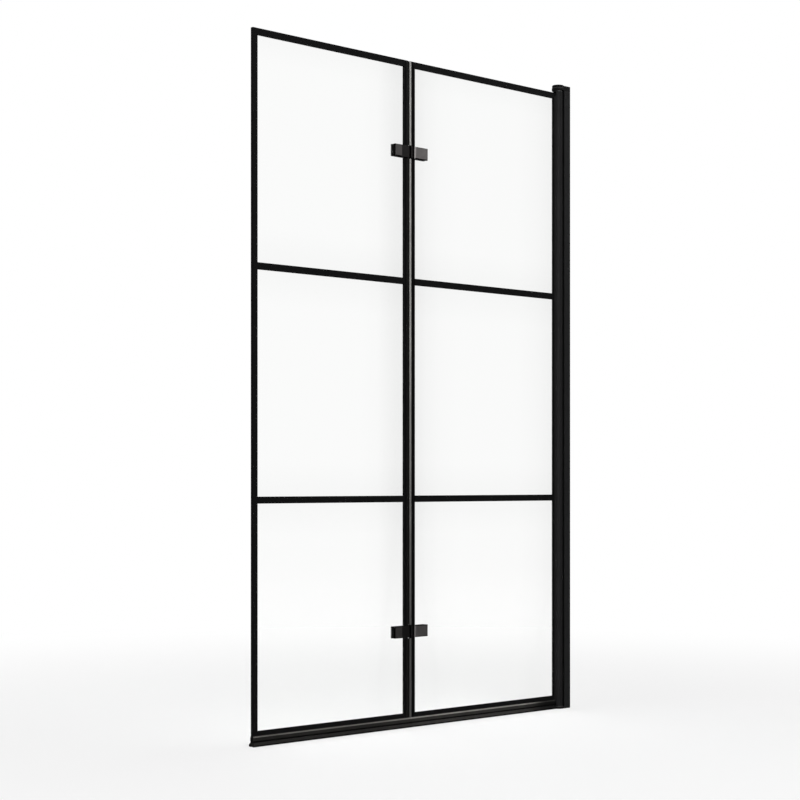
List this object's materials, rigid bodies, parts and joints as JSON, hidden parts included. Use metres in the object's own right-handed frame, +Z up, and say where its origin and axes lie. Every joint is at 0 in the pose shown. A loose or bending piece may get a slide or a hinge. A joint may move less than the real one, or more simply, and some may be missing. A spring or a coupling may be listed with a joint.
{
  "type": "bath screen",
  "caption": "Folding bath screen: framed clear glass panels with glazing bars, hinged to each other and to a pivot post on the wall, with rim and joint seals.",
  "frame": {"origin": "where the wall face, the bath rim and the middle plane of the screen meet", "axes": "+X into the wall that the post is fixed to, so the free edge is at -X; +Y towards the bath, -Y towards the room; +Z up the post"},
  "size_m": [0.9, 0.029, 1.4],
  "materials": {
    "post_black": "matt black powder coat on extruded aluminium",
    "frame_black": "matt black powder coat on slim aluminium profile",
    "clear_glass": "clear toughened safety glass",
    "hinge_metal": "satin black metal",
    "seal_black": "smooth black soft plastic",
    "seal_grey": "glossy grey soft plastic",
    "nylon": "black nylon",
    "steel": "stainless steel"
  },
  "bodies": {
    "wall_post": {"wall_channel": "post_black", "pivot_rail": "post_black", "top_cap": "post_black", "bottom_cap": "post_black", "top_pivot_pin": "steel", "bottom_pivot_pin": "steel", "cap_screws": "steel", "adjusting_screws": "steel"},
    "inner_panel": {"pivot_tube": "post_black", "top_bush": "nylon", "bottom_bush": "nylon", "inner_glass": "clear_glass", "inner_wall_stile": "frame_black", "inner_joint_stile": "frame_black", "inner_top_rail": "frame_black", "inner_bottom_rail": "frame_black", "inner_upper_bar": "frame_black", "inner_lower_bar": "frame_black", "inner_bottom_seal": "seal_black", "upper_inner_leaf": "hinge_metal", "upper_inner_clamp": "hinge_metal", "upper_inner_pads": "seal_black", "upper_inner_sleeve": "nylon", "upper_inner_screw": "steel", "lower_inner_leaf": "hinge_metal", "lower_inner_clamp": "hinge_metal", "lower_inner_pads": "seal_black", "lower_inner_sleeve": "nylon", "lower_inner_screw": "steel"},
    "outer_panel": {"outer_glass": "clear_glass", "outer_free_stile": "frame_black", "outer_joint_stile": "frame_black", "outer_top_rail": "frame_black", "outer_bottom_rail": "frame_black", "outer_upper_bar": "frame_black", "outer_lower_bar": "frame_black", "outer_bottom_seal": "seal_black", "joint_seal_clip": "seal_black", "joint_seal_bead": "seal_grey", "upper_outer_leaf": "hinge_metal", "upper_outer_clamp": "hinge_metal", "upper_outer_pads": "seal_black", "upper_outer_sleeve": "nylon", "upper_outer_screw": "steel", "lower_outer_leaf": "hinge_metal", "lower_outer_clamp": "hinge_metal", "lower_outer_pads": "seal_black", "lower_outer_sleeve": "nylon", "lower_outer_screw": "steel", "upper_hinge_pin": "steel", "lower_hinge_pin": "steel"}
  },
  "joints": [
    {"name": "screen_swing", "type": "hinge", "parent": "wall_post", "child": "inner_panel", "pos_m": [-0.0265, 0, 0.7], "axis": [0, 0, 1], "range_deg": [-90, 90]},
    {"name": "panel_fold", "type": "hinge", "parent": "inner_panel", "child": "outer_panel", "pos_m": [-0.488, 0.01, 0.7], "axis": [0, 0, -1], "range_deg": [0, 180]}
  ]
}
